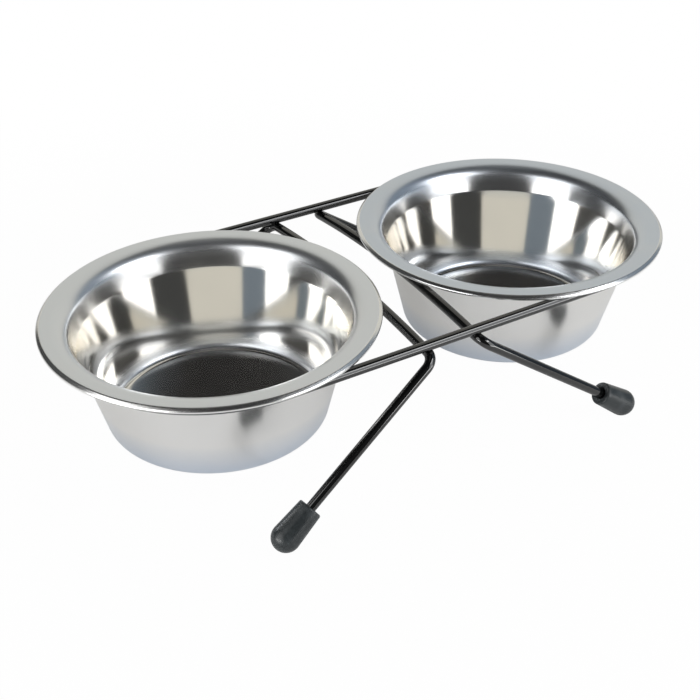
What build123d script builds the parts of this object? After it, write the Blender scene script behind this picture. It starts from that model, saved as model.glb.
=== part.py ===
from build123d import *
from math import acos, atan2, cos, hypot, pi, radians, sin, tan
import os

# Double pet bowl: two pressed steel bowls hang by their flanges in a wire stand on rubber feet.
# Millimetres. X runs along the stand, Y to the back and Z up. The origin is on the floor, midway
# between the bowls.

# Bowls
MOUTH_DIAMETER = 128.4       # outside of the shoulder, carried up to the top of the flange
FLANGE_WIDTH = 10.8          # from there to the rim's edge
BOWL_DEPTH = 53.4            # top of the flange to the underside of the base
SHOULDER_DEPTH = 12.6        # top of the flange to the ring where the wall turns steeper
SHOULDER_ANGLE = 18.0        # degrees that the shoulder leans outwards from upright
WALL_ANGLE = 13.8            # degrees that the wall below the ring leans outwards
SHEET = 0.6                  # thickness of the steel
FLANGE_BEND_RADIUS = 7.4     # under the flange, where the shoulder turns outwards
RING_BEND_RADIUS = 8.0       # outside the bowl, where the wall turns into the shoulder
BASE_BEND_RADIUS = 4.4       # inside the bowl, where the wall turns into the base
LIP_WIDTH = 1.5              # edge of the flange that slopes down to the rim
LIP_ANGLE = 38.0             # degrees of that slope
LIP_DEPTH = 2.0              # top of the flange to the rim's cut edge, which stands upright
LIP_BEND_RADIUS = 1.0        # inside radius where the flange bends into the lip
LIP_EDGE_RADIUS = 0.2        # inside radius where the lip turns upright
BOWL_GAP = 12.0              # between the two rims
BASE_CLEARANCE = 17.0        # floor to the underside of a bowl

# Stand wires
WIRE_DIAMETER = 4.6          # steel wire with its coating
LOOP_CLEARANCE = 2.2         # between the loop and the mouth of a bowl
CROSS_CLEARANCE = 2.0        # between a cross wire and the mouth of a bowl
SEAT_GAP = 0.1               # between the bowls' lips and the rails under them
WELD_SET_DOWN = 0.3          # how far a leg wire and the loop sink together at a weld
STRAIGHT_END = 10.7          # straight end of a cross wire, from its arched crown to the rail
LEG_OVERHANG = 4.0           # from a rail to the corner where the leg turns down
LEG_BEND_RADIUS = 6.5        # centre line of the wire at that corner

# Feet
FOOT_BEYOND_AXIS = 10.0      # from a bowl's axis outwards to the centre of a foot, along X
FOOT_BEYOND_RAIL = 13.9      # from a rail outwards to the centre of a foot, along Y
CAP_WALL = 3.05              # rubber round the wire at the open end
CAP_FLARE = 1.0              # how much larger the dome's radius is than the open end's
CAP_SLEEVE = 15.8            # from the dome's centre to the open end
CAP_FLOOR = 8.0              # rubber between the wire's end and the tip of the dome
CAP_FIT = 0.05               # clearance round the wire and at its end
CAP_EDGE_RADIUS = 0.8        # outer edge of the open end
CAP_LEAD_IN = 0.7            # chamfer at the mouth of the bore
FOOT_FLAT_DEPTH = 0.4        # depth of the dome that is flat against the floor

# Sizes that follow
MOUTH_RADIUS = MOUTH_DIAMETER / 2
RIM_RADIUS = MOUTH_RADIUS + FLANGE_WIDTH
RIM_HEIGHT = BASE_CLEARANCE + BOWL_DEPTH
BOWL_X = RIM_RADIUS + BOWL_GAP / 2
WIRE_RADIUS = WIRE_DIAMETER / 2
LOOP_RADIUS = MOUTH_RADIUS + LOOP_CLEARANCE + WIRE_RADIUS
LOOP_HEIGHT = RIM_HEIGHT - LIP_DEPTH - SEAT_GAP - WIRE_RADIUS
CROSS_X = BOWL_X - MOUTH_RADIUS - CROSS_CLEARANCE - WIRE_RADIUS
BORE_RADIUS = WIRE_RADIUS + CAP_FIT
CAP_TOP_RADIUS = BORE_RADIUS + CAP_WALL
DOME_RADIUS = CAP_TOP_RADIUS + CAP_FLARE
BORE_BOTTOM = CAP_FLOOR - DOME_RADIUS
SIDES = {"left": -1, "right": 1}
ENDS = {"front": -1, "rear": 1}


def bowl(side: int) -> Part:
    """Revolve the section of the sheet: base, wall, shoulder, flat flange and sloped lip."""
    shoulder, wall = radians(SHOULDER_ANGLE), radians(WALL_ANGLE)
    ring_radius = MOUTH_RADIUS - SHOULDER_DEPTH * tan(shoulder)
    base_radius = ring_radius - (BOWL_DEPTH - SHOULDER_DEPTH) * tan(wall)
    base_top = SHEET - BOWL_DEPTH
    ring_lean = (shoulder + wall) / 2
    across_ring = SHEET / cos((shoulder - wall) / 2)
    slope = radians(LIP_ANGLE)
    lip_start = RIM_RADIUS - LIP_WIDTH
    cut_radius = RIM_RADIUS - SHEET

    inside = FilletPolyline(
        (0, base_top),
        (base_radius + SHEET * tan(wall) - SHEET / cos(wall), base_top),
        (ring_radius - across_ring * cos(ring_lean), across_ring * sin(ring_lean) - SHOULDER_DEPTH),
        (MOUTH_RADIUS - SHEET / cos(shoulder), 0),
        (lip_start, 0),
        (RIM_RADIUS, -LIP_WIDTH * tan(slope)),
        (RIM_RADIUS, -LIP_DEPTH),
        radius=[
            BASE_BEND_RADIUS,
            RING_BEND_RADIUS + SHEET,
            FLANGE_BEND_RADIUS + SHEET,
            LIP_BEND_RADIUS + SHEET,
            LIP_EDGE_RADIUS + SHEET,
        ],
    )
    cut = Line((RIM_RADIUS, -LIP_DEPTH), (cut_radius, -LIP_DEPTH))
    outside = FilletPolyline(
        (cut_radius, -LIP_DEPTH),
        (cut_radius, (lip_start - cut_radius) * tan(slope) - SHEET / cos(slope)),
        (lip_start - SHEET * tan(slope / 2), -SHEET),
        (MOUTH_RADIUS - SHEET * tan(shoulder), -SHEET),
        (ring_radius, -SHOULDER_DEPTH),
        (base_radius, -BOWL_DEPTH),
        (0, -BOWL_DEPTH),
        radius=[
            LIP_EDGE_RADIUS,
            LIP_BEND_RADIUS,
            FLANGE_BEND_RADIUS,
            RING_BEND_RADIUS,
            BASE_BEND_RADIUS + SHEET,
        ],
    )
    axis = Line((0, -BOWL_DEPTH), (0, base_top))
    section = Plane.XZ * make_face(Curve() + [inside, cut, outside, axis])
    return Pos(side * BOWL_X, 0, RIM_HEIGHT) * revolve(section, Axis.Z)


def sweep_wire(path: Wire) -> Part:
    """Carry the wire's round section along its centre line."""
    return sweep(Plane(path @ 0, z_dir=path % 0) * Circle(WIRE_RADIUS), path=path)


def support_loop() -> Part:
    """Closed loop: two straight rails, and two half circles about the axes of the bowls."""
    outermost = BOWL_X + LOOP_RADIUS
    front = Line((-BOWL_X, -LOOP_RADIUS), (BOWL_X, -LOOP_RADIUS))
    right = ThreePointArc(front @ 1, (outermost, 0), (BOWL_X, LOOP_RADIUS))
    rear = Line(right @ 1, (-BOWL_X, LOOP_RADIUS))
    left = ThreePointArc(rear @ 1, (-outermost, 0), front @ 0)
    return sweep_wire(Pos(0, 0, LOOP_HEIGHT) * Wire([front, right, rear, left]))


def crown(side: int) -> Edge:
    """Arched middle of a cross wire.

    It rises to the height of the rails under the flange, and its straight ends slope down far
    enough to pass under the rails.
    """
    reach = LOOP_RADIUS - STRAIGHT_END
    end_slope = (WIRE_DIAMETER - WELD_SET_DOWN) / (LOOP_RADIUS - reach / 2)
    low = LOOP_HEIGHT - end_slope * reach / 2
    x = side * CROSS_X
    return ThreePointArc((x, -reach, low), (x, 0, LOOP_HEIGHT), (x, reach, low))


def leg_corner(side: int, end: int) -> Vector:
    """Corner beyond a rail, where the straight end of the cross wire meets the line of the leg."""
    arch = crown(side)
    place = (1 + end) / 2
    outwards = (arch % place) * end
    travel = (STRAIGHT_END + LEG_OVERHANG) / abs(outwards.Y)
    return arch @ place + outwards * travel


def foot_centre(side: int, end: int) -> Vector:
    """Centre of the dome of a foot."""
    x = side * (BOWL_X + FOOT_BEYOND_AXIS)
    y = end * (LOOP_RADIUS + FOOT_BEYOND_RAIL)
    return Vector(x, y, DOME_RADIUS - FOOT_FLAT_DEPTH)


def up_leg(side: int, end: int) -> Vector:
    """Unit vector up a leg, from the centre of its foot to its corner."""
    return (leg_corner(side, end) - foot_centre(side, end)).normalized()


def wire_end(side: int, end: int) -> Vector:
    """Cut end of a leg wire, at the bottom of the bore of its cap."""
    return foot_centre(side, end) + up_leg(side, end) * (BORE_BOTTOM + CAP_FIT)


def leg_wire(side: int, loop: Part) -> Part:
    """One wire down both legs and across under the rails, seated in the loop at both welds."""
    arch = crown(side)
    front = FilletPolyline(wire_end(side, -1), leg_corner(side, -1), arch @ 0, radius=LEG_BEND_RADIUS)
    rear = FilletPolyline(arch @ 1, leg_corner(side, 1), wire_end(side, 1), radius=LEG_BEND_RADIUS)
    return sweep_wire(Wire(front.edges() + [arch] + rear.edges())) - loop


def foot_cap(side: int, end: int) -> Part:
    """Tapered sleeve with a domed end and a blind bore, flat where it stands on the floor."""
    top_corner = hypot(CAP_SLEEVE, CAP_TOP_RADIUS)
    taper = atan2(CAP_SLEEVE, CAP_TOP_RADIUS) - acos(DOME_RADIUS / top_corner)
    halfway = (taper - pi / 2) / 2
    mouth = BORE_RADIUS + CAP_LEAD_IN

    dome = ThreePointArc(
        (0, -DOME_RADIUS),
        (DOME_RADIUS * cos(halfway), DOME_RADIUS * sin(halfway)),
        (DOME_RADIUS * cos(taper), DOME_RADIUS * sin(taper)),
    )
    sleeve = FilletPolyline(
        dome @ 1,
        (CAP_TOP_RADIUS, CAP_SLEEVE),
        (mouth, CAP_SLEEVE),
        radius=CAP_EDGE_RADIUS,
    )
    bore = Polyline(
        (mouth, CAP_SLEEVE),
        (BORE_RADIUS, CAP_SLEEVE - CAP_LEAD_IN),
        (BORE_RADIUS, BORE_BOTTOM),
        (0, BORE_BOTTOM),
        (0, -DOME_RADIUS),
    )
    section = Plane.XZ * make_face(Curve() + [dome, sleeve, bore])
    along_leg = Plane(foot_centre(side, end), z_dir=up_leg(side, end))
    return split(along_leg * revolve(section, Axis.Z), bisect_by=Plane.XY, keep=Keep.TOP)


def main() -> None:
    """Build every piece and write each to its own file."""
    loop = support_loop()
    pieces = {"support_loop": loop}
    for side_name, side in SIDES.items():
        pieces[f"bowl_{side_name}"] = bowl(side)
        pieces[f"leg_wire_{side_name}"] = leg_wire(side, loop)
        for end_name, end in ENDS.items():
            pieces[f"foot_cap_{end_name}_{side_name}"] = foot_cap(side, end)
    os.makedirs("parts", exist_ok=True)
    for name, piece in pieces.items():
        export_step(piece, f"parts/{name}.step")


main()
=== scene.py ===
"""Looks of the double pet bowl: polished steel bowls in a gloss black wire stand on rubber feet.

All sizes are in metres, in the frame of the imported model: X along the stand, Y to the back, Z up.
"""

import logging
import math
from dataclasses import dataclass
from enum import Enum
from typing import Any, Optional, Sequence, Union

import bpy
import numpy as np
from mathutils import Matrix, Vector

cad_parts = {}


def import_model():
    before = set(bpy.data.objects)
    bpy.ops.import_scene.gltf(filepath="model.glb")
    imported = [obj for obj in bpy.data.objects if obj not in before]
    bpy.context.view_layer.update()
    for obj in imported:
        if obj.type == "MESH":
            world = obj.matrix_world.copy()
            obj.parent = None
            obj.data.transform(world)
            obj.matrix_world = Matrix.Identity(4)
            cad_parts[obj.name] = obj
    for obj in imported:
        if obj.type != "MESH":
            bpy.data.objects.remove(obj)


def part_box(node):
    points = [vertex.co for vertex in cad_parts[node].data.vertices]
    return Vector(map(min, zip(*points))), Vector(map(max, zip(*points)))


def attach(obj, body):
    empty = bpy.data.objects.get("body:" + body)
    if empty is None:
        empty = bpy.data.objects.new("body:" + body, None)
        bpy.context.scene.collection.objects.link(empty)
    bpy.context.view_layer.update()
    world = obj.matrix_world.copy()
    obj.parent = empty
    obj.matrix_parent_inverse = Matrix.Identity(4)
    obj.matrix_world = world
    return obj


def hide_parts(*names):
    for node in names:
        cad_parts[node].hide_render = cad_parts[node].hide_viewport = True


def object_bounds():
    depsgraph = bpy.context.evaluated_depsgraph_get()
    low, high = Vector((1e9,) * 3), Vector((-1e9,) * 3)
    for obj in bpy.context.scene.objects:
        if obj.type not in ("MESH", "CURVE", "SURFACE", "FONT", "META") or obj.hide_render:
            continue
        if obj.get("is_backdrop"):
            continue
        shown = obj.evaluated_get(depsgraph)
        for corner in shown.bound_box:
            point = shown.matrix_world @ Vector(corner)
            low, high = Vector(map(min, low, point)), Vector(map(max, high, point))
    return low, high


LOG = logging.getLogger("double_pet_bowl")
MM = 0.001
PHOTO_WIDTH = 700
SHARP_CORNER = math.radians(40.0)
TINY = 1e-6
Colour = tuple[float, float, float]
Place = tuple[float, float, float]
Range = tuple[float, float]
Number = Union[int, float, "Value"]


class Side(Enum):
    """Left or right half of the object, with its sign along X."""

    LEFT = -1
    RIGHT = 1

    @property
    def label(self) -> str:
        """Word for this side in the names of pieces."""
        return self.name.lower()


class End(Enum):
    """Front or rear of the object, with its sign along Y."""

    FRONT = -1
    REAR = 1

    @property
    def label(self) -> str:
        """Word for this end in the names of pieces."""
        return self.name.lower()


@dataclass
class Surface:
    """Closed surface as arrays: points, faces of four and three corners, and numbers per point."""

    points: np.ndarray
    quads: np.ndarray
    triangles: np.ndarray
    measures: dict[str, np.ndarray]

    def piece(self, name: str, material: bpy.types.Material) -> bpy.types.Object:
        """Put the surface into a mesh object at the origin.

        Args:
            name: Name of the piece.
            material: Finish of the whole piece.

        Returns:
            The new object, linked to the scene and shaded smooth up to its sharp corners.
        """
        mesh = bpy.data.meshes.new(name)
        mesh.from_pydata(self.points.tolist(), [], self.quads.tolist() + self.triangles.tolist())
        for label, values in self.measures.items():
            attribute = mesh.attributes.new(label, "FLOAT", "POINT")
            attribute.data.foreach_set("value", values.astype(np.float32))
        mesh.polygons.foreach_set("use_smooth", np.ones(len(mesh.polygons), bool))
        mesh.materials.append(material)
        mesh.update()
        mesh.set_sharp_from_angle(angle=SHARP_CORNER)
        piece = bpy.data.objects.new(name, mesh)
        bpy.context.scene.collection.objects.link(piece)
        return piece


def unit(vectors: np.ndarray) -> np.ndarray:
    """Vectors along the last axis, each divided by its own length."""
    return vectors / np.linalg.norm(vectors, axis=-1, keepdims=True)


def straight_run(start: np.ndarray, end: np.ndarray, step: float) -> np.ndarray:
    """Evenly spaced points from start to end, both included.

    Args:
        start: First point.
        end: Last point.
        step: Largest spacing.

    Returns:
        Points as rows: start + t (end - start), with t from 0 to 1.
    """
    count = max(int(math.ceil(np.linalg.norm(end - start) / step)), 1)
    share = np.linspace(0.0, 1.0, count + 1)[:, None]
    return start + share * (end - start)


def corner_arc(
    before: np.ndarray, corner: np.ndarray, after: np.ndarray, radius: float, turn: float
) -> np.ndarray:
    """Points on the arc that rounds a corner, tangent to both of its runs.

    With w the angle between the runs, the arc's centre lies radius / sin(w / 2) from the corner
    along the bisector, and the arc is centre + radius (u cos s + v sin s), with s from 0 to pi - w.

    Args:
        before: Any point on the run that comes in.
        corner: The sharp corner.
        after: Any point on the run that goes out.
        radius: Radius of the arc.
        turn: Largest turn between neighbouring points, in radians.

    Returns:
        Points as rows, from the first tangent point to the last.
    """
    come, go = unit(before - corner), unit(after - corner)
    between = math.acos(float(np.clip(come @ go, -1.0, 1.0)))
    centre = corner + unit(come + go) * radius / math.sin(between / 2)
    across = unit(corner + come * radius / math.tan(between / 2) - centre)
    along = unit(-come - ((-come) @ across) * across)
    count = max(int(math.ceil((math.pi - between) / turn)), 2)
    swing = np.linspace(0.0, math.pi - between, count + 1)[:, None]
    return centre + radius * (np.cos(swing) * across + np.sin(swing) * along)


def rounded_line(
    corners: Sequence[Sequence[float]], radii: Sequence[float], step: float, turn: float
) -> np.ndarray:
    """Points along straight runs whose inner corners are rounded, in the plane or in space.

    Args:
        corners: Sharp corners of the line, with its two ends.
        radii: Radius at each inner corner.
        step: Largest spacing on a straight run.
        turn: Largest turn between neighbouring points of an arc, in radians.

    Returns:
        Points as rows, with no point twice.
    """
    sharp = np.asarray(corners, float)
    arcs = [
        corner_arc(sharp[i], sharp[i + 1], sharp[i + 2], radius, turn)
        for i, radius in enumerate(radii)
    ]
    stops = [sharp[:1], *arcs, sharp[-1:]]
    line = [stops[0]]
    for last, following in zip(stops[:-1], stops[1:]):
        line.append(straight_run(last[-1], following[0], step)[1:-1])
        line.append(following)
    return np.concatenate(line)


def lattice(rows: int, columns: int, closed: bool) -> np.ndarray:
    """Corner numbers of the faces of a grid that is wrapped round its columns.

    Args:
        rows: Number of rings of points.
        columns: Number of points on each ring.
        closed: Whether the last ring joins the first one.

    Returns:
        Four corners a row, ordered so that a face's normal is the direction along a ring cross the
        direction from ring to ring.
    """
    ring = np.arange(rows if closed else rows - 1)[:, None]
    place = np.arange(columns)[None, :]
    following = (ring + 1) % rows
    beside = (place + 1) % columns
    corners = [
        ring * columns + place,
        ring * columns + beside,
        following * columns + beside,
        following * columns + place,
    ]
    return np.stack(np.broadcast_arrays(*corners), -1).reshape(-1, 4)


def end_fans(rows: int, columns: int) -> np.ndarray:
    """Corner numbers of the triangles that close the first and the last ring of a grid.

    Each ring closes round one point of its own. The first ring's point is numbered straight after
    the points of the grid, and the last ring's point comes next.

    Args:
        rows: Number of rings of points.
        columns: Number of points on each ring.

    Returns:
        Three corners a row, ordered as the grid's own faces are.
    """
    place = np.arange(columns)
    beside = (place + 1) % columns
    end_ring = (rows - 1) * columns
    middle = np.full(columns, rows * columns)
    start = np.stack([middle, beside, place], -1)
    end = np.stack([middle + 1, end_ring + place, end_ring + beside], -1)
    return np.concatenate([start, end])


def revolved(profile: np.ndarray, columns: int, measures: dict[str, np.ndarray]) -> Surface:
    """Surface swept by a profile that turns about Z.

    A point of the profile at radius r and height h goes to (r cos a, r sin a, h), with the angle a
    from 0 to a full turn. The two ends of the profile lie on the axis, and each is one point.

    Args:
        profile: Radius and height as rows, from the axis out and back to the axis, with the solid
            on the right of the line.
        columns: Points round the axis.
        measures: One number for each row of the profile, by name.

    Returns:
        The closed surface.
    """
    angle = np.linspace(0.0, 2 * np.pi, columns, endpoint=False)
    rings = profile[1:-1]
    turned = np.stack(
        [
            rings[:, :1] * np.cos(angle),
            rings[:, :1] * np.sin(angle),
            np.broadcast_to(rings[:, 1:], (len(rings), columns)),
        ],
        -1,
    ).reshape(-1, 3)
    poles = np.array([[0.0, 0.0, profile[0, 1]], [0.0, 0.0, profile[-1, 1]]])
    spread = {
        label: np.concatenate([np.repeat(values[1:-1], columns), values[[0, -1]]])
        for label, values in measures.items()
    }
    quads = lattice(len(rings), columns, False)[:, ::-1]
    fans = end_fans(len(rings), columns)[:, ::-1]
    return Surface(np.concatenate([turned, poles]), quads, fans, spread)


def tube(path: np.ndarray, radius: float, sides: int, upright: np.ndarray, closed: bool) -> Surface:
    """Round section carried along a path.

    At each point the section lies in the plane of two unit vectors: one square to the tangent and to
    a fixed upright direction, and one square to both. A point of it is path + radius (p cos a + q sin a).

    Args:
        path: Centre line as rows.
        radius: Radius of the section.
        sides: Points round the section.
        upright: Direction that the path is never parallel to.
        closed: Whether the path joins its own start.

    Returns:
        The closed surface, with flat ends where the path is open.
    """
    if closed:
        tangent = unit(np.roll(path, -1, 0) - np.roll(path, 1, 0))
    else:
        tangent = unit(np.gradient(path, axis=0))
    across = unit(np.cross(upright, tangent))
    above = np.cross(tangent, across)
    angle = np.linspace(0.0, 2 * np.pi, sides, endpoint=False)[None, :, None]
    section = across[:, None] * np.cos(angle) + above[:, None] * np.sin(angle)
    points = (path[:, None] + radius * section).reshape(-1, 3)
    fans = np.zeros((0, 3), int)
    if not closed:
        points = np.concatenate([points, path[[0, -1]]])
        fans = end_fans(len(path), sides)
    return Surface(points, lattice(len(path), sides, closed), fans, {})


class Value:
    """A number that varies over a surface: a node's output, with the operators that add Math nodes."""

    def __init__(self, graph: "Graph", socket: bpy.types.NodeSocket) -> None:
        """Keep the graph and the output socket."""
        self.graph = graph
        self.socket = socket

    def __add__(self, other: Number) -> "Value":
        """Sum of two numbers."""
        return self.graph.maths("ADD", self, other)

    def __sub__(self, other: Number) -> "Value":
        """This number less another."""
        return self.graph.maths("SUBTRACT", self, other)

    def __rsub__(self, other: Number) -> "Value":
        """Another number less this one."""
        return self.graph.maths("SUBTRACT", other, self)

    def __mul__(self, other: Number) -> "Value":
        """Product of two numbers."""
        return self.graph.maths("MULTIPLY", self, other)

    def __truediv__(self, other: Number) -> "Value":
        """This number divided by another."""
        return self.graph.maths("DIVIDE", self, other)

    def __pow__(self, other: Number) -> "Value":
        """This number raised to a power."""
        return self.graph.maths("POWER", self, other)

    __radd__ = __add__
    __rmul__ = __mul__

    def step(self, low: float, high: float) -> "Value":
        """Smooth step from 0 to 1.

        Args:
            low: Where it leaves 0.
            high: Where it reaches 1.

        Returns:
            The number from 0 to 1.
        """
        ramp = self.graph.add(
            "ShaderNodeMapRange",
            {"interpolation_type": "SMOOTHSTEP"},
            {"Value": self, "From Min": low, "From Max": high},
        )
        return Value(self.graph, ramp.outputs["Result"])


class Graph:
    """Nodes of one material or of the world, emptied at the start."""

    def __init__(self, owner: Union[bpy.types.Material, bpy.types.World]) -> None:
        """Turn on the owner's nodes and clear them."""
        owner.use_nodes = True
        self.tree = owner.node_tree
        self.tree.nodes.clear()

    def add(
        self, kind: str, settings: dict[str, Any], sockets: dict[Union[str, int], Any]
    ) -> bpy.types.Node:
        """Add one node.

        Args:
            kind: Blender's name for the type of node.
            settings: Properties of the node, which are set first.
            sockets: Values of its inputs, or the outputs that feed them, by name or number.

        Returns:
            The new node.
        """
        node = self.tree.nodes.new(kind)
        for label, setting in settings.items():
            setattr(node, label, setting)
        for label, fed in sockets.items():
            if isinstance(fed, Value):
                self.tree.links.new(fed.socket, node.inputs[label])
            elif isinstance(fed, bpy.types.NodeSocket):
                self.tree.links.new(fed, node.inputs[label])
            else:
                node.inputs[label].default_value = fed
        return node

    def maths(self, operation: str, *terms: Number) -> Value:
        """Math node of an operation on numbers.

        Args:
            operation: Blender's name for the operation.
            terms: One, two or three numbers.

        Returns:
            The node's result.
        """
        node = self.add("ShaderNodeMath", {"operation": operation}, dict(enumerate(terms)))
        return Value(self, node.outputs["Value"])

    def mix(self, share: Number, first: Any, second: Any) -> bpy.types.NodeSocket:
        """Colour that goes from first to second as share goes from 0 to 1.

        Args:
            share: Number from 0 to 1.
            first: Colour or output socket.
            second: Colour or output socket.

        Returns:
            The mixed colour's socket.
        """
        colours = [(*c, 1.0) if isinstance(c, tuple) else c for c in (first, second)]
        sockets = {0: share, 6: colours[0], 7: colours[1]}
        return self.add("ShaderNodeMix", {"data_type": "RGBA"}, sockets).outputs[2]

    def attribute(self, label: str) -> Value:
        """Number that the piece's mesh holds at each point."""
        node = self.add("ShaderNodeAttribute", {"attribute_name": label}, {})
        return Value(self, node.outputs["Fac"])

    def noise(self, size: float, detail: float, place: Optional[Value] = None) -> Value:
        """Cloudy noise of a given grain.

        Args:
            size: Size of a cloud in metres.
            detail: Octaves of finer noise.
            place: Number to draw one-dimensional noise along, or None for object coordinates.

        Returns:
            Noise from about 0 to 1.
        """
        if place is None:
            spot = self.add("ShaderNodeTexCoord", {}, {}).outputs["Object"]
            settings, where = {"noise_dimensions": "3D"}, {"Vector": spot}
        else:
            settings, where = {"noise_dimensions": "1D"}, {"W": place}
        sockets = {**where, "Scale": 1.0 / size, "Detail": detail}
        return Value(self, self.add("ShaderNodeTexNoise", settings, sockets).outputs[0])

    def bump(self, height: Value, depth: float) -> bpy.types.NodeSocket:
        """Normal of a surface with fine relief.

        Args:
            height: Relief from 0 to 1.
            depth: Relief in metres at 1.

        Returns:
            The socket of the tilted normal.
        """
        sockets = {"Strength": 1.0, "Distance": depth, "Height": height}
        return self.add("ShaderNodeBump", {}, sockets).outputs["Normal"]

    def surface(self, sockets: dict[str, Any]) -> None:
        """Principled shader with these inputs, linked to the material's output."""
        shader = self.add("ShaderNodeBsdfPrincipled", {}, sockets)
        self.add("ShaderNodeOutputMaterial", {}, {"Surface": shader.outputs["BSDF"]})


@dataclass(frozen=True)
class BowlSteel:
    """Pressed stainless steel: mirror inside, satin on the flange, fine turning lines all round."""

    bright: Colour = (0.90, 0.885, 0.855)
    grey: Colour = (0.62, 0.675, 0.755)
    smudge: Colour = (0.82, 0.81, 0.79)
    polished: float = 0.075
    satin: float = 0.36
    line_spacing: float = 0.22 * MM
    line_depth: float = 0.0006 * MM
    line_rough: float = 0.08
    polished_lines: float = 0.3
    wave_size: float = 26.0 * MM
    wave_depth: float = 0.012 * MM
    smudge_size: float = 18.0 * MM
    smudge_range: Range = (0.45, 0.75)
    smudge_share: float = 0.12
    smudge_rough: float = 0.02

    def material(self) -> bpy.types.Material:
        """Build the finish from the mesh's own measures.

        Returns:
            Metal whose roughness follows the satin measure, with turning lines along the profile.
        """
        made = bpy.data.materials.new("bowl_steel")
        graph = Graph(made)
        satin = graph.attribute("satin")
        lines = graph.noise(self.line_spacing, detail=2.0, place=graph.attribute("along"))
        waves = graph.noise(self.wave_size, detail=1.0)
        clouds = graph.noise(self.smudge_size, detail=4.0).step(*self.smudge_range)
        rough = self.polished + satin * (self.satin - self.polished)
        cut = self.polished_lines + satin * (1 - self.polished_lines)
        relief = lines * cut * (self.line_depth / self.wave_depth) + waves
        # The grey tone follows the satin finish and painted shade: darker towards the outside's base and
        # on the right flange.
        metal = graph.mix(graph.attribute("dull"), self.bright, self.grey)
        graph.surface(
            {
                "Base Color": graph.mix(clouds * self.smudge_share, metal, self.smudge),
                "Metallic": 1.0,
                "Roughness": rough + clouds * self.smudge_rough + (lines - 0.5) * satin * self.line_rough,
                "Normal": graph.bump(relief, self.wave_depth),
            }
        )
        return made


@dataclass(frozen=True)
class WireCoating:
    """Gloss black coating on the wire, with the faint ripple of a dipped finish."""

    black: Colour = (0.0012, 0.0014, 0.0014)
    dusty: Colour = (0.0026, 0.003, 0.003)
    gloss: float = 0.045
    ripple_size: float = 2.4 * MM
    ripple_depth: float = 0.004 * MM
    cloud_size: float = 9.0 * MM
    cloud_range: Range = (0.4, 0.8)
    cloud_rough: float = 0.04
    index: float = 1.75

    def material(self) -> bpy.types.Material:
        """Build the coating.

        Returns:
            Glossy black with ripples in its relief and clouds in its gloss.
        """
        made = bpy.data.materials.new("wire_coating")
        graph = Graph(made)
        ripple = graph.noise(self.ripple_size, detail=2.0)
        clouds = graph.noise(self.cloud_size, detail=3.0)
        graph.surface(
            {
                "Base Color": graph.mix(clouds.step(*self.cloud_range), self.black, self.dusty),
                "Roughness": self.gloss + clouds * self.cloud_rough,
                "IOR": self.index,
                "Normal": graph.bump(ripple, self.ripple_depth),
            }
        )
        return made


@dataclass(frozen=True)
class FootRubber:
    """Satin black rubber with the fine grain of its mould."""

    black: Colour = (0.024, 0.029, 0.031)
    worn: Colour = (0.044, 0.051, 0.054)
    rough: float = 0.30
    grain_size: float = 0.5 * MM
    grain_depth: float = 0.006 * MM
    grain_rough: float = 0.08
    handled_size: float = 6.0 * MM
    handled_range: Range = (0.42, 0.72)
    handled_rough: float = 0.10

    def material(self) -> bpy.types.Material:
        """Build the rubber.

        Returns:
            Dark rubber, a little paler and rougher where it is handled.
        """
        made = bpy.data.materials.new("foot_rubber")
        graph = Graph(made)
        grain = graph.noise(self.grain_size, detail=3.0)
        handled = graph.noise(self.handled_size, detail=3.0).step(*self.handled_range)
        rough = self.rough + handled * self.handled_rough
        graph.surface(
            {
                "Base Color": graph.mix(handled, self.black, self.worn),
                "Roughness": rough + (grain - 0.5) * self.grain_rough,
                "Normal": graph.bump(grain, self.grain_depth),
            }
        )
        return made


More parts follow.
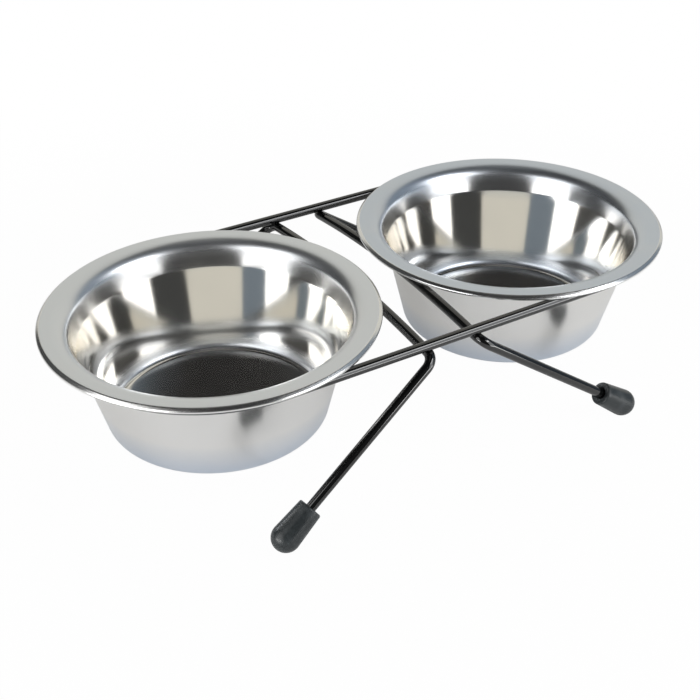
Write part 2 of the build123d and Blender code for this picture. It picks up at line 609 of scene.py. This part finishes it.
@dataclass(frozen=True)
class Bowl:
    """One pressed bowl: flat base, steep wall, wider shoulder, flat flange and sloped lip.

    The satin shares belong to the satin heights. The outside is painted darker towards its base as
    shade, up to outside_dull over the shade heights. Heights are measured up from the flange.
    """

    side: Side
    mouth_radius: float = 64.2 * MM
    rim_radius: float = 75.0 * MM
    depth: float = 53.4 * MM
    shoulder_depth: float = 12.6 * MM
    shoulder_lean: float = math.radians(18.0)
    wall_lean: float = math.radians(13.8)
    sheet: float = 0.6 * MM
    flange_bend: float = 7.4 * MM
    ring_bend: float = 8.0 * MM
    base_bend: float = 4.4 * MM
    lip_width: float = 1.5 * MM
    lip_slope: float = math.radians(38.0)
    lip_depth: float = 2.0 * MM
    lip_bend: float = 1.0 * MM
    lip_edge: float = 0.2 * MM
    columns: int = 256
    step: float = 1.6 * MM
    turn: float = math.radians(3.0)
    satin_heights: tuple[float, ...] = tuple(
        height * MM for height in (-52.7, -51.8, -49.0, -45.0, -13.1, -12.1, -8.0, -4.0, 0.0)
    )
    satin_shares: tuple[float, ...] = (0.05, 0.90, 0.90, 0.0, 0.0, 0.22, 0.32, 0.7, 1.0)
    # Painted shade: the right flange is made darker than the left, though the bowls are alike.
    left_flange_dull: float = 0.62
    right_flange_dull: float = 1.00
    lip_satin: float = 0.45
    lip_dull: float = 0.30
    outside_satin: float = 0.38
    outside_dull: float = 0.10
    # Painted shade: the outside's tone at its base, greyer than outside_dull higher up.
    low_dull: float = 1.00
    worn_heights: Range = (-50.0 * MM, -34.0 * MM)

    @property
    def node(self) -> str:
        """Name of the bowl's solid in the frame."""
        return f"bowl_{self.side.label}"

    @property
    def ring_radius(self) -> float:
        """Outside radius at the ring where the wall turns into the shoulder."""
        return self.mouth_radius - self.shoulder_depth * math.tan(self.shoulder_lean)

    @property
    def base_radius(self) -> float:
        """Outside radius of the sharp corner between the wall and the base."""
        return self.ring_radius - (self.depth - self.shoulder_depth) * math.tan(self.wall_lean)

    @property
    def flange_dull(self) -> float:
        """Grey share of the flange, with painted shade: the right flange is painted darker than the left.
        """
        return self.left_flange_dull if self.side is Side.LEFT else self.right_flange_dull

    @property
    def lip_start(self) -> float:
        """Distance from the bowl's axis at which the flange starts to slope down."""
        return self.rim_radius - self.lip_width

    def inside(self) -> np.ndarray:
        """Upper line of the section: the under line moved up by the sheet's thickness.

        Returns:
            Radius and height as rows, from the middle of the base to the lip's cut edge.
        """
        base = self.sheet - self.depth
        inset = math.tan(self.wall_lean) - 1 / math.cos(self.wall_lean)
        base_corner = self.base_radius + self.sheet * inset
        mean = (self.shoulder_lean + self.wall_lean) / 2
        across = self.sheet / math.cos((self.shoulder_lean - self.wall_lean) / 2)
        corners = [
            (0, base),
            (base_corner, base),
            (
                self.ring_radius - across * math.cos(mean),
                across * math.sin(mean) - self.shoulder_depth,
            ),
            (self.mouth_radius - self.sheet / math.cos(self.shoulder_lean), 0),
            (self.lip_start, 0),
            (self.rim_radius, -self.lip_width * math.tan(self.lip_slope)),
            (self.rim_radius, -self.lip_depth),
        ]
        bends = [self.ring_bend, self.flange_bend, self.lip_bend, self.lip_edge]
        radii = [self.base_bend, *(bend + self.sheet for bend in bends)]
        return rounded_line(corners, radii, self.step, self.turn)

    def outside(self) -> np.ndarray:
        """Under line of the section: straight runs between the bowl's corners, with its bends.

        Returns:
            Radius and height as rows, from the lip's cut edge to the middle of the base.
        """
        cut = self.rim_radius - self.sheet
        inner_drop = (cut - self.lip_start) * math.tan(self.lip_slope)
        inner_drop += self.sheet / math.cos(self.lip_slope)
        corners = [
            (cut, -self.lip_depth),
            (cut, -inner_drop),
            (self.lip_start - self.sheet * math.tan(self.lip_slope / 2), -self.sheet),
            (self.mouth_radius - self.sheet * math.tan(self.shoulder_lean), -self.sheet),
            (self.ring_radius, -self.shoulder_depth),
            (self.base_radius, -self.depth),
            (0, -self.depth),
        ]
        bends = [self.lip_edge, self.lip_bend, self.flange_bend, self.ring_bend]
        return rounded_line(corners, [*bends, self.base_bend + self.sheet], self.step, self.turn)

    def surface(self) -> Surface:
        """Turn the section about the bowl's axis and set it in its place in the stand.

        The inside is satin on the flange, less so on the shoulder, polished on the wall, and satin
        again at the bend of the base. What is satin there is greyer too. Painted shade greys the
        outside towards its base, and the right flange more than the left.

        Returns:
            Closed surface, with three measures: the length along the section, how satin it is and
            how grey, painted shade included.
        """
        upper, under = self.inside(), self.outside()
        profile = np.concatenate([upper, under])
        along = np.concatenate([[0.0], np.cumsum(np.linalg.norm(np.diff(profile, axis=0), axis=1))])
        brushed = np.interp(upper[:, 1], self.satin_heights, self.satin_shares)
        lip = upper[:, 0] > self.lip_start
        parts = [np.where(lip, self.lip_satin, brushed), np.full(len(under), self.outside_satin)]
        # Painted shade: the outside greys towards its base.
        worn = np.interp(under[:, 1], self.worn_heights, [self.low_dull, self.outside_dull])
        # Painted shade: the right bowl's flange is darker here than the left's.
        tones = [np.where(lip, self.lip_dull, brushed) * self.flange_dull, worn]
        measures = {"along": along, "satin": np.concatenate(parts), "dull": np.concatenate(tones)}
        made = revolved(profile, self.columns, measures)
        low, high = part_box(self.node)
        made.points += np.array([(low.x + high.x) / 2, (low.y + high.y) / 2, high.z])
        return made

    def build(self, steel: bpy.types.Material) -> bpy.types.Object:
        """Make the bowl, dress it and let it ride on its body.

        Args:
            steel: Finish of the bowl.

        Returns:
            The piece.
        """
        piece = self.surface().piece(f"{self.side.label}_steel_bowl", steel)
        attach(piece, f"{self.side.label}_bowl")
        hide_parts(self.node)
        return piece


@dataclass(frozen=True)
class WireStand:
    """Wire stand: a closed loop that carries the flanges, and two leg wires welded under it."""

    wire_radius: float = 2.3 * MM
    loop_radius: float = 68.7 * MM
    bowl_offset: float = 81.0 * MM
    cross_offset: float = 12.5 * MM
    crown_rise: float = 4.3 * MM
    straight_end: float = 10.7 * MM
    leg_overhang: float = 4.0 * MM
    leg_bend: float = 6.5 * MM
    foot_x: float = 91.0 * MM
    foot_y: float = 82.6 * MM
    dome_radius: float = 6.4 * MM
    foot_flat: float = 0.4 * MM
    cap_top_radius: float = 5.4 * MM
    cap_sleeve: float = 15.8 * MM
    cap_floor: float = 8.0 * MM
    cap_fit: float = 0.05 * MM
    cap_edge: float = 0.8 * MM
    cap_bore_edge: float = 0.25 * MM
    cap_lead_in: float = 0.7 * MM
    sides: int = 40
    step: float = 4.0 * MM
    turn: float = math.radians(3.0)
    crown_points: int = 41
    cap_columns: int = 72
    cap_step: float = 1.0 * MM
    cap_turn: float = math.radians(15.0)
    dome_turn: float = math.radians(5.0)

    @property
    def loop_height(self) -> float:
        """Height of the loop's centre line above the floor."""
        low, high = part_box("support_loop")
        return (low.z + high.z) / 2

    def loop_path(self) -> np.ndarray:
        """Centre line of the loop: two straight rails and two half circles about the bowls' axes.

        Returns:
            Points as rows, once round. The left half is the right half turned by half a turn.
        """
        swing = np.arange(0.0, math.pi, self.turn)
        right = np.stack([np.sin(swing), -np.cos(swing)], -1) * self.loop_radius
        right += (self.bowl_offset, 0)
        rail_end = np.array([self.bowl_offset, self.loop_radius])
        rail = straight_run(rail_end, rail_end * (-1, 1), self.step)[:-1]
        half = np.concatenate([right, rail])
        flat = np.concatenate([half, -half])
        return np.column_stack([flat, np.full(len(flat), self.loop_height)])

    @property
    def crown_reach(self) -> float:
        """Half length of the chord of a cross wire's arch."""
        return self.loop_radius - self.straight_end

    @property
    def crown_drop(self) -> float:
        """How far the ends of the arch lie below its middle."""
        return self.crown_rise * self.crown_reach / 2 / (self.loop_radius - self.crown_reach / 2)

    @property
    def crown_radius(self) -> float:
        """Radius of the arch: (c c + d d) / 2 d for a chord of half length c and a drop d."""
        return (self.crown_reach**2 + self.crown_drop**2) / (2 * self.crown_drop)

    def crown(self, side: Side) -> np.ndarray:
        """Arch of a cross wire: a circle's arc, as high as the loop in the middle.

        Args:
            side: Which cross wire.

        Returns:
            Points from front to rear.
        """
        half_angle = math.asin(self.crown_reach / self.crown_radius)
        angle = np.linspace(-half_angle, half_angle, self.crown_points)
        x = np.full(self.crown_points, side.value * self.cross_offset)
        height = self.loop_height + self.crown_radius * (np.cos(angle) - 1)
        return np.column_stack([x, self.crown_radius * np.sin(angle), height])

    def leg_corner(self, side: Side, end: End) -> np.ndarray:
        """Sharp corner beyond a rail, on the straight end that leaves the arch along its tangent.

        Args:
            side: Which leg wire.
            end: Front or rear leg.

        Returns:
            The corner's place.
        """
        slope = self.crown_reach / (self.crown_radius - self.crown_drop)
        run = self.straight_end + self.leg_overhang
        height = self.loop_height - self.crown_drop - slope * run
        return np.array([side.value * self.cross_offset, end.value * (self.crown_reach + run), height])

    def foot_centre(self, side: Side, end: End) -> np.ndarray:
        """Centre of the dome of a foot."""
        height = self.dome_radius - self.foot_flat
        return np.array([side.value * self.foot_x, end.value * self.foot_y, height])

    def up_leg(self, side: Side, end: End) -> np.ndarray:
        """Unit vector from a foot's centre up its leg."""
        return unit(self.leg_corner(side, end) - self.foot_centre(side, end))

    def leg_path(self, side: Side) -> np.ndarray:
        """Centre line of a leg wire: up the front leg, across under the rails and down the rear leg.

        Args:
            side: Which leg wire.

        Returns:
            Points as rows, from the front cap to the rear cap.
        """
        arch = self.crown(side)
        seat = self.cap_floor - self.dome_radius + self.cap_fit
        ends = {end: self.foot_centre(side, end) + self.up_leg(side, end) * seat for end in End}
        front_corners = [ends[End.FRONT], self.leg_corner(side, End.FRONT), arch[0]]
        rear_corners = [arch[-1], self.leg_corner(side, End.REAR), ends[End.REAR]]
        front = rounded_line(front_corners, [self.leg_bend], self.step, self.turn)
        rear = rounded_line(rear_corners, [self.leg_bend], self.step, self.turn)
        return np.concatenate([front, arch[1:-1], rear])

    def cap_profile(self) -> np.ndarray:
        """Section of a cap, from the bottom of its bore up, over the open end and down to the dome's tip.

        The sleeve's line leaves the dome where it is tangent to it, at the angle
        atan2(sleeve, top) - acos(dome / hypot(sleeve, top)) above the dome's widest ring.

        Returns:
            Radius and height as rows, with the dome's centre at height 0.
        """
        reach = math.hypot(self.cap_sleeve, self.cap_top_radius)
        taper = math.atan2(self.cap_sleeve, self.cap_top_radius) - math.acos(self.dome_radius / reach)
        angle = np.arange(-math.pi / 2, taper, self.dome_turn)
        dome = self.dome_radius * np.stack([np.cos(angle), np.sin(angle)], -1)
        dome[0, 0] = 0.0
        bore = self.wire_radius + self.cap_fit
        shoulder = (self.dome_radius * math.cos(taper), self.dome_radius * math.sin(taper))
        sleeve = rounded_line(
            [
                shoulder,
                (self.cap_top_radius, self.cap_sleeve),
                (bore + self.cap_lead_in, self.cap_sleeve),
                (bore, self.cap_sleeve - self.cap_lead_in),
            ],
            [self.cap_edge, self.cap_bore_edge],
            self.cap_step,
            self.cap_turn,
        )
        bottom = self.cap_floor - self.dome_radius
        return np.concatenate([dome, sleeve, [(bore, bottom), (0.0, bottom)]])[::-1]

    def cap(self, side: Side, end: End) -> Surface:
        """Cap turned about its leg, and pressed flat where it meets the floor.

        Args:
            side: Left or right foot.
            end: Front or rear foot.

        Returns:
            Closed surface, with no point below the floor.
        """
        made = revolved(self.cap_profile(), self.cap_columns, {})
        along = self.up_leg(side, end)
        across = unit(np.cross((0.0, 0.0, 1.0), along))
        turned = made.points @ np.stack([across, np.cross(along, across), along])
        made.points = turned + self.foot_centre(side, end)
        made.points[:, 2] = np.maximum(made.points[:, 2], 0.0)
        return made

    def build(self, coating: bpy.types.Material, rubber: bpy.types.Material) -> list[bpy.types.Object]:
        """Make the loop, both leg wires and the four caps, and let them ride on the stand.

        Args:
            coating: Finish of the wires.
            rubber: Finish of the caps.

        Returns:
            The pieces.
        """
        level = np.array([0.0, 0.0, 1.0])
        loop = tube(self.loop_path(), self.wire_radius, self.sides, level, True)
        loop_piece = loop.piece("black_wire_loop", coating)
        pieces = [self.fix(loop_piece, "support_loop")]
        for side in Side:
            # A leg wire never runs along this direction, which is square to Y and to its legs.
            leg = self.up_leg(side, End.FRONT)
            upright = unit(np.array([leg[2], 0.0, -leg[0]]))
            wire = tube(self.leg_path(side), self.wire_radius, self.sides, upright, False)
            legs = wire.piece(f"black_wire_legs_{side.label}", coating)
            pieces.append(self.fix(legs, f"leg_wire_{side.label}"))
            for end in End:
                spot = f"{end.label}_{side.label}"
                cap = self.cap(side, end).piece(f"rubber_foot_{spot}", rubber)
                pieces.append(self.fix(cap, f"foot_cap_{spot}"))
        return pieces

    def fix(self, piece: bpy.types.Object, node: str) -> bpy.types.Object:
        """Let a piece ride on the stand in place of its solid.

        Args:
            piece: The piece.
            node: Solid that it stands for.

        Returns:
            The same piece.
        """
        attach(piece, "stand")
        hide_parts(node)
        return piece


@dataclass(frozen=True)
class SoftLight:
    """Soft light, by the direction it hangs in and its half sizes as seen from the object.

    The swing is its turn from the camera's heading, positive to the left. Half sizes are shares of
    its distance, and the roll leans it in its own plane.
    """

    name: str
    swing: float
    elevation: float
    half_width: float
    half_height: float
    roll: float
    radiance: float


@dataclass(frozen=True)
class Studio:
    """White floor, soft lights at both sides of the camera, a pale wall behind and a dark room.

    Edges of the room's parts are soft: each range says where one part starts and the other ends.
    """

    azimuth: float = math.radians(-30.7)
    elevation: float = math.radians(33.31)
    roll: float = math.radians(-0.43)
    camera_offset: Place = (-0.2504, -0.4022, 0.2617)
    focal_pixels: float = 1158.6
    centre_pixel: float = 348.1
    sensor: float = 36.0
    floor_half: float = 4.0
    paper: float = 0.9
    near_glow: float = 0.98
    near_floor: Range = (0.16, 0.45)
    metal_glow: float = 0.25
    light_distance: float = 0.6
    mirror_bounces: int = 12
    lights: tuple[SoftLight, ...] = (
        SoftLight("soft_light_left", math.radians(131.5), math.radians(24.0), 0.375, 0.48, 0.12, 1.9),
        SoftLight("soft_light_right", math.radians(-118.5), math.radians(21.5), 0.345, 0.59, -0.25, 1.9),
        SoftLight("low_light_left", math.radians(134.5), math.radians(5.0), 0.37, 0.05, 0.0, 9.5),
        SoftLight("low_light_right", math.radians(-123.5), math.radians(5.0), 0.345, 0.05, 0.0, 6.0),
        SoftLight("high_light_right", math.radians(-113.0), math.radians(45.0), 0.25, 0.06, 0.0, 6.0),
    )
    wall: Colour = (0.71, 0.695, 0.635)
    wall_half: float = math.radians(45.5)
    wall_edge: float = 0.035
    wall_turn: float = math.radians(-2.0)
    wall_top: float = math.radians(70.0)
    wall_top_edge: float = 0.07
    left_gap: Colour = (0.055, 0.057, 0.058)
    right_gap: Colour = (0.185, 0.225, 0.27)
    gap_range: Range = (-0.2, 0.2)
    rear: Colour = (0.08, 0.08, 0.08)
    rear_low: Colour = (0.026, 0.026, 0.027)
    rear_rise: Range = (0.03, 0.35)
    rear_range: Range = (-0.75, -0.45)
    overhead: Colour = (0.024, 0.024, 0.0245)
    overhead_range: Range = (math.radians(42.0), math.radians(62.0))
    ceiling: Colour = (0.16, 0.16, 0.158)
    ceiling_range: Range = (math.radians(74.0), math.radians(84.0))

    @property
    def heading(self) -> np.ndarray:
        """Level unit vector from the camera towards the object."""
        return np.array([-math.sin(self.azimuth), math.cos(self.azimuth), 0.0])

    def place_camera(self, rim_height: float) -> bpy.types.Object:
        """Set the camera where the photograph was taken from.

        Args:
            rim_height: Height of the rims, from which the camera's place is measured.

        Returns:
            The camera.
        """
        level, rise = math.cos(self.elevation), math.sin(self.elevation)
        back = Vector((math.sin(self.azimuth) * level, -math.cos(self.azimuth) * level, rise))
        right = Vector((math.cos(self.azimuth), math.sin(self.azimuth), 0.0))
        up = back.cross(right)
        tilted_right = right * math.cos(self.roll) + up * math.sin(self.roll)
        tilted_up = up * math.cos(self.roll) - right * math.sin(self.roll)
        lens = bpy.data.cameras.new("camera")
        lens.sensor_width = self.sensor
        lens.lens = self.focal_pixels / PHOTO_WIDTH * self.sensor
        lens.shift_x = (PHOTO_WIDTH / 2 - self.centre_pixel) / PHOTO_WIDTH
        camera = bpy.data.objects.new("camera", lens)
        turned = Matrix((tilted_right, tilted_up, back)).transposed().to_4x4()
        spot = Vector(self.camera_offset) + Vector((0, 0, rim_height))
        camera.matrix_world = Matrix.Translation(spot) @ turned
        bpy.context.scene.collection.objects.link(camera)
        bpy.context.scene.camera = camera
        return camera

    def lay_floor(self) -> bpy.types.Object:
        """Lay a white floor that keeps a soft shadow and shows white in the metal.

        Returns:
            The floor, marked as stage.
        """
        made = bpy.data.materials.new("white_floor")
        graph = Graph(made)
        rays = graph.add("ShaderNodeLightPath", {}, {}).outputs
        seen = Value(graph, rays["Is Camera Ray"])
        glossy, through = (Value(graph, rays[f"Is {kind} Ray"]) for kind in ("Glossy", "Transmission"))
        mirrored = graph.maths("MAXIMUM", glossy, through)
        spot = graph.add("ShaderNodeTexCoord", {}, {}).outputs["Object"]
        away = graph.add("ShaderNodeVectorMath", {"operation": "LENGTH"}, {0: spot}).outputs["Value"]
        open_floor = Value(graph, away).step(*self.near_floor)
        seen_glow = seen * (self.near_glow + open_floor * (1 - self.near_glow))
        glow_here = seen_glow + mirrored * self.metal_glow
        paper = graph.add("ShaderNodeBsdfDiffuse", {}, {"Color": (*[self.paper] * 3, 1.0)})
        glow = graph.add("ShaderNodeEmission", {}, {"Color": (1.0, 1.0, 1.0, 1.0), "Strength": 1.0})
        parts = {0: glow_here, 1: paper.outputs[0], 2: glow.outputs[0]}
        blend = graph.add("ShaderNodeMixShader", {}, parts)
        graph.add("ShaderNodeOutputMaterial", {}, {"Surface": blend.outputs[0]})
        half = self.floor_half
        corners = np.array([[-half, -half, 0], [half, -half, 0], [half, half, 0], [-half, half, 0]])
        sheet = Surface(corners, np.array([[0, 1, 2, 3]]), np.zeros((0, 3), int), {})
        floor = sheet.piece("floor", made)
        floor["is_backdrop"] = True
        return floor

    def hang_light(self, soft: SoftLight) -> bpy.types.Object:
        """Hang one soft light that faces the object.

        Args:
            soft: Its direction from the heading, positive to the left, and its size.

        Returns:
            The light.
        """
        panel = bpy.data.lights.new(soft.name, "AREA")
        panel.shape = "RECTANGLE"
        panel.size = 2 * soft.half_width * self.light_distance
        panel.size_y = 2 * soft.half_height * self.light_distance
        panel.energy = soft.radiance * math.pi * panel.size * panel.size_y
        angle = math.atan2(self.heading[1], self.heading[0]) + soft.swing
        level = math.cos(soft.elevation)
        out = Vector((math.cos(angle) * level, math.sin(angle) * level, math.sin(soft.elevation)))
        across = Vector((0.0, 0.0, 1.0)).cross(out).normalized()
        above = out.cross(across)
        wide = across * math.cos(soft.roll) + above * math.sin(soft.roll)
        light = bpy.data.objects.new(soft.name, panel)
        turned = Matrix((wide, out.cross(wide), out)).transposed().to_4x4()
        light.matrix_world = Matrix.Translation(out * self.light_distance) @ turned
        light.visible_camera = False
        bpy.context.scene.collection.objects.link(light)
        return light

    def paint_room(self) -> None:
        """Paint the room: white to the camera, and to the metal a pale wall behind with dark gaps."""
        world = bpy.data.worlds.new("room")
        bpy.context.scene.world = world
        graph = Graph(world)
        spot = graph.add("ShaderNodeTexCoord", {}, {}).outputs["Generated"]
        axes = graph.add("ShaderNodeSeparateXYZ", {}, {0: spot})
        x, y, z = (Value(graph, axes.outputs[label]) for label in "XYZ")
        level = (x * x + y * y + TINY) ** 0.5
        front = Vector((float(self.heading[0]), float(self.heading[1]), 0.0))
        ahead = (x * front.x + y * front.y) / level
        leftwards = (y * front.x - x * front.y) / level
        sides = graph.mix(leftwards.step(*self.gap_range), self.right_gap, self.left_gap)
        rear = graph.mix(z.step(*self.rear_rise), self.rear_low, self.rear)
        round_room = graph.mix(ahead.step(*self.rear_range), rear, sides)
        above = graph.mix(z.step(*np.sin(self.ceiling_range).tolist()), self.overhead, self.ceiling)
        dark = graph.mix(z.step(*np.sin(self.overhead_range).tolist()), round_room, above)
        towards_wall = ahead * math.cos(self.wall_turn) + leftwards * math.sin(self.wall_turn)
        edge, top_edge = self.wall_edge, self.wall_top_edge
        wall = towards_wall.step(math.cos(self.wall_half + edge), math.cos(self.wall_half - edge))
        over = z.step(math.sin(self.wall_top - top_edge), math.sin(self.wall_top + top_edge))
        wall = wall * (1 - over)
        studio = graph.add("ShaderNodeBackground", {}, {"Color": graph.mix(wall, dark, self.wall)})
        white = graph.add("ShaderNodeBackground", {}, {"Color": (1.0, 1.0, 1.0, 1.0)})
        seen = graph.add("ShaderNodeLightPath", {}, {}).outputs["Is Camera Ray"]
        parts = {0: seen, 1: studio.outputs[0], 2: white.outputs[0]}
        blend = graph.add("ShaderNodeMixShader", {}, parts)
        graph.add("ShaderNodeOutputWorld", {}, {"Surface": blend.outputs[0]})

    def build(self, rim_height: float) -> None:
        """Set up the camera, floor, lights and room.

        Args:
            rim_height: Height of the rims.
        """
        self.place_camera(rim_height)
        self.lay_floor()
        for soft in self.lights:
            self.hang_light(soft)
        self.paint_room()
        bpy.context.scene.cycles.glossy_bounces = self.mirror_bounces
        bpy.context.scene.view_settings.view_transform = "Standard"


def main() -> None:
    """Load the frame, dress it and set up the studio."""
    logging.basicConfig(level=logging.INFO, format="%(name)s: %(message)s")
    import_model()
    solid_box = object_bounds()
    steel = BowlSteel().material()
    pieces = [Bowl(side).build(steel) for side in Side]
    pieces += WireStand().build(WireCoating().material(), FootRubber().material())
    for piece in pieces:
        LOG.info("%s: %d faces", piece.name, len(piece.data.polygons))
    Studio().build(solid_box[1].z)


if __name__ == "__main__":
    main()
